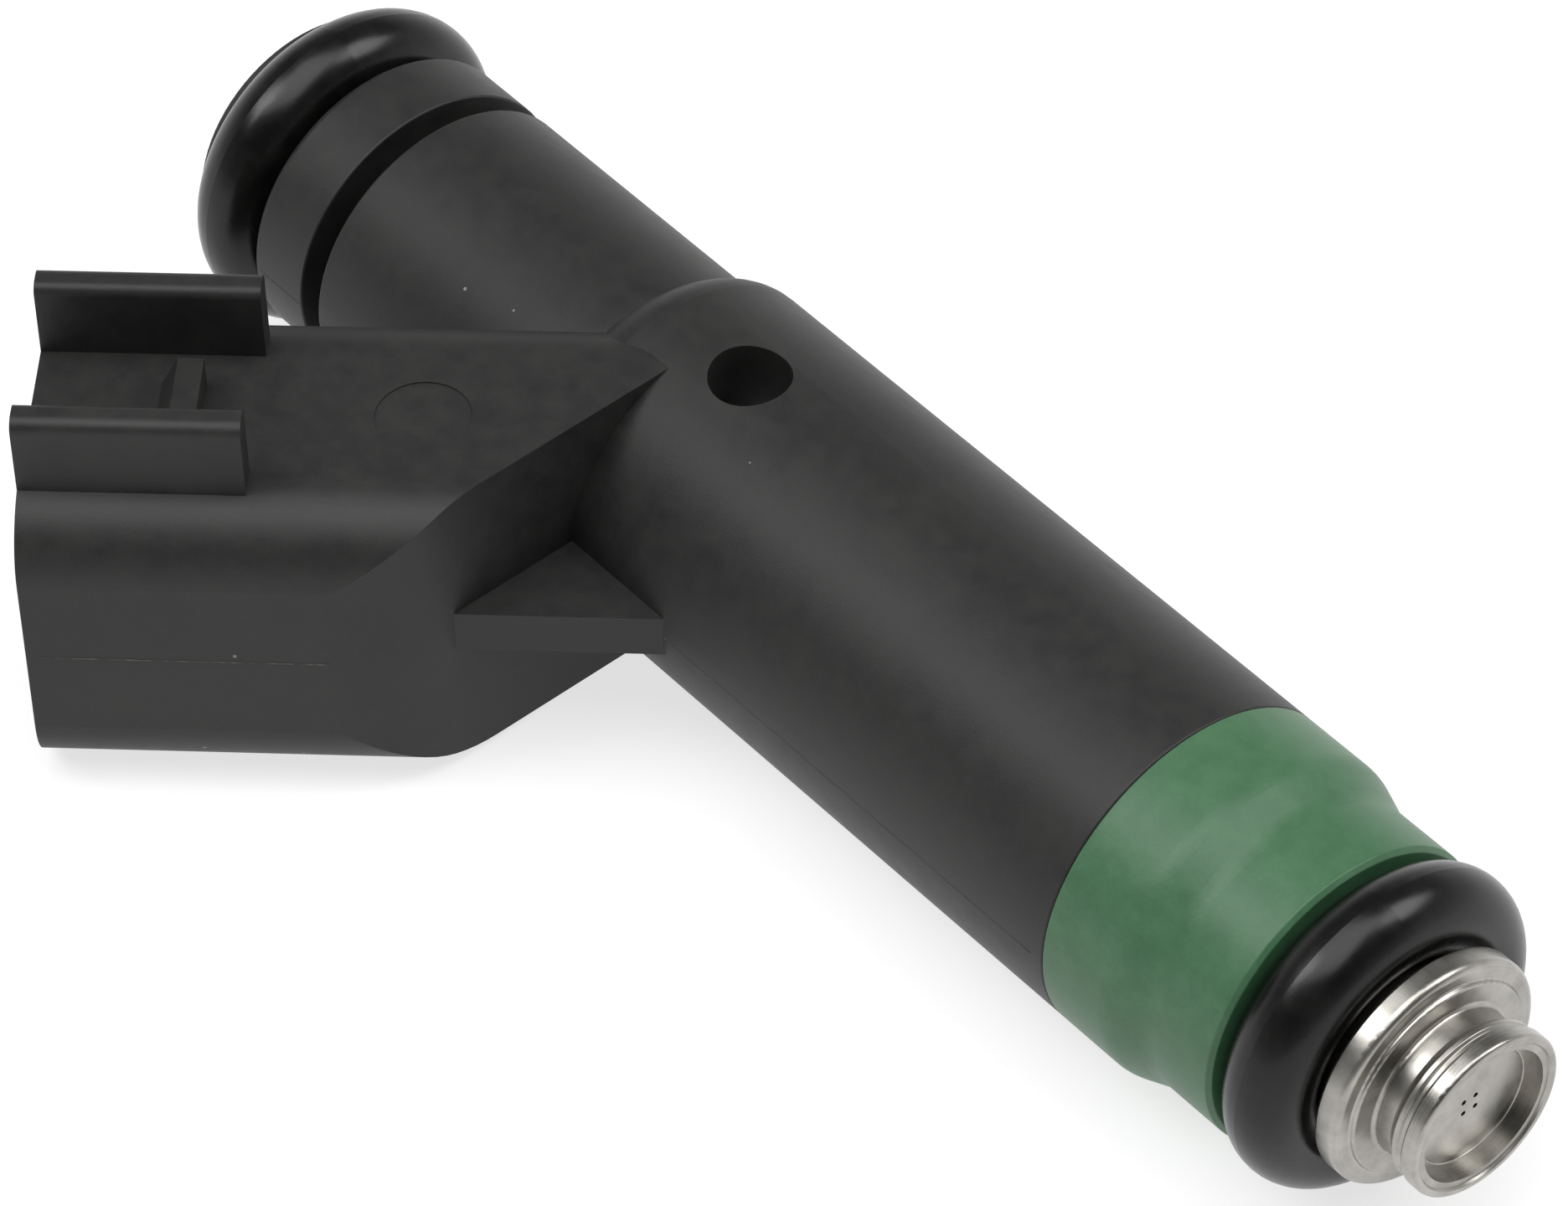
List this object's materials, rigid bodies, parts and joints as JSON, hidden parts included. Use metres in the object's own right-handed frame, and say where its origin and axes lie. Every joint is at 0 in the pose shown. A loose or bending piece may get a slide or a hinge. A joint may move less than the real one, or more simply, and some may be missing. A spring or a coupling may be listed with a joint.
{
  "type": "fuel injector",
  "caption": "Top-feed port fuel injector with green nozzle sleeve, two O-rings, angled electrical connector and a solenoid-lifted ball valve inside.",
  "frame": {"origin": "on the injector's axis at the front of the nozzle's lip", "axes": "+X along the axis, the way the fuel sprays; the inlet lies at -X. +Z is square to the plane that holds the axis and the connector, on the latch rails' side. The connector leans out towards -X and -Y."},
  "size_m": [0.0759, 0.0364, 0.0189],
  "materials": {
    "black_nylon": "satin, fine grain, glass filled",
    "green_nylon": "satin",
    "filter_nylon": "matt, textured",
    "o_ring_rubber": "smooth, slightly glossy",
    "stainless": "fine turned",
    "magnetic_steel": "turned",
    "hard_steel": "ground",
    "spring_steel": "drawn wire",
    "bobbin_plastic": "satin",
    "copper_winding": "enamelled wire",
    "terminal_tin": "tin plated",
    "filter_mesh": "fine woven mesh"
  },
  "bodies": {
    "housing": {"overmold_body": "black_nylon", "upper_o_ring": "o_ring_rubber", "lower_o_ring": "o_ring_rubber", "filter_frame": "filter_nylon", "filter_screen": "filter_mesh", "inlet_tube": "magnetic_steel", "pole_piece": "magnetic_steel", "adjusting_tube": "magnetic_steel", "return_spring": "spring_steel", "lift_ring": "hard_steel", "needle_guide": "stainless", "valve_seat": "hard_steel", "orifice_plate": "stainless", "nozzle_cap": "stainless", "valve_body": "magnetic_steel", "nonmagnetic_shell": "stainless", "coil_bobbin": "bobbin_plastic", "coil_winding": "copper_winding", "coil_housing": "magnetic_steel", "flux_washer": "magnetic_steel", "lower_sleeve": "green_nylon", "terminal_blade_inlet_side": "terminal_tin", "terminal_blade_nozzle_side": "terminal_tin"},
    "needle": {"armature": "magnetic_steel", "needle_tube": "hard_steel", "valve_ball": "hard_steel"}
  },
  "joints": [
    {"name": "needle_lift", "type": "slide", "parent": "housing", "child": "needle", "axis": [-1, 0, 0], "range_m": [0, 0.0001], "stiffness_N_per_m": 2000, "springref_m": -0.003}
  ]
}
